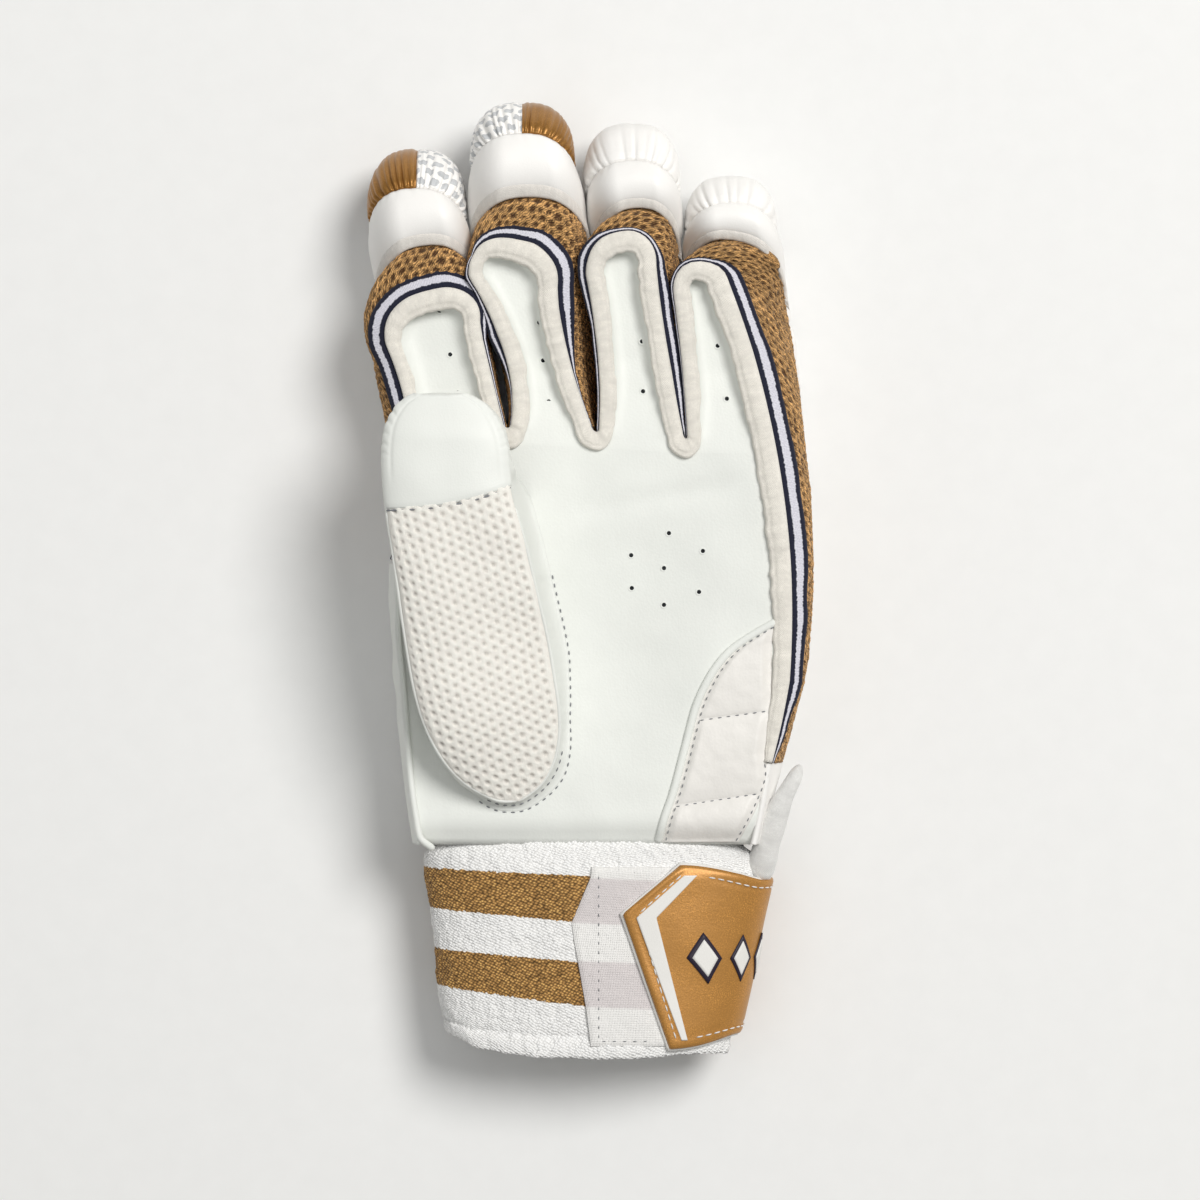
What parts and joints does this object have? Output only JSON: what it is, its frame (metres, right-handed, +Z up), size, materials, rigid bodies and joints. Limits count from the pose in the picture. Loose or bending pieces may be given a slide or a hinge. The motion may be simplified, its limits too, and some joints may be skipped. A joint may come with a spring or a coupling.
{
  "type": "cricket batting glove",
  "caption": "Left-hand cricket batting glove with leather palm, mesh finger walls, padded finger and hand rolls, padded thumb and a towelling cuff with strap.",
  "frame": {"origin": "centre of the glove's bounding box in plan, on the plane that it rests on", "axes": "+Y from the cuff to the fingertips, +X from the thumb side to the little finger, +Z up, out of the palm"},
  "size_m": [0.1278, 0.2728, 0.0626],
  "materials": {
    "palm_leather": "soft matte, pale mint white",
    "padded_leather": "smooth white coated leather, satin",
    "bronze_leather": "metallic bronze-gold coated leather",
    "bronze_mesh": "knitted bronze-gold mesh",
    "striped_tape": "woven tape, navy with a pale lavender stripe",
    "cream_binding": "rolled cream cotton binding",
    "spacer_mesh": "white spacer mesh with round dimples",
    "towelling": "white terry towelling",
    "loop_cloth": "flat woven loop cloth",
    "lining": "smooth off-white lining"
  },
  "bodies": {
    "root": {"back_shell": "lining", "cuff": "towelling", "edge_piping": "padded_leather", "heel_patch": "palm_leather", "heel_patch_edge": "palm_leather", "index_binding": "cream_binding", "index_end_roll": "padded_leather", "index_hand_roll": "padded_leather", "index_mesh_wall": "bronze_mesh", "index_roll_1": "padded_leather", "index_roll_2": "padded_leather", "index_roll_3": "padded_leather", "index_striped_tape": "striped_tape", "index_tip_cap": "bronze_leather", "little_binding": "cream_binding", "little_end_roll": "padded_leather", "little_hand_roll": "padded_leather", "little_mesh_wall": "bronze_mesh", "little_roll_1": "padded_leather", "little_roll_2": "padded_leather", "little_roll_3": "padded_leather", "little_striped_tape": "striped_tape", "little_tip_cap": "padded_leather", "loop_patch": "loop_cloth", "middle_binding": "cream_binding", "middle_end_roll": "padded_leather", "middle_hand_roll": "padded_leather", "middle_mesh_wall": "bronze_mesh", "middle_roll_1": "padded_leather", "middle_roll_2": "padded_leather", "middle_roll_3": "padded_leather", "middle_striped_tape": "striped_tape", "middle_tip_cap": "bronze_leather", "palm_leather": "palm_leather", "ring_binding": "cream_binding", "ring_end_roll": "padded_leather", "ring_hand_roll": "padded_leather", "ring_mesh_wall": "bronze_mesh", "ring_roll_1": "padded_leather", "ring_roll_2": "padded_leather", "ring_roll_3": "padded_leather", "ring_striped_tape": "striped_tape", "ring_tip_cap": "padded_leather", "strap": "bronze_leather", "strap_backing": "lining", "thumb_back_shell": "lining", "thumb_mesh_front": "spacer_mesh", "thumb_roll_1": "padded_leather", "thumb_roll_2": "padded_leather", "thumb_roll_3": "padded_leather", "thumb_side_panel": "padded_leather", "thumb_tip_patch": "palm_leather", "thumb_wall": "palm_leather", "vent_panel": "padded_leather", "vent_roll": "towelling", "wrist_roll": "padded_leather"}
  },
  "joints": []
}
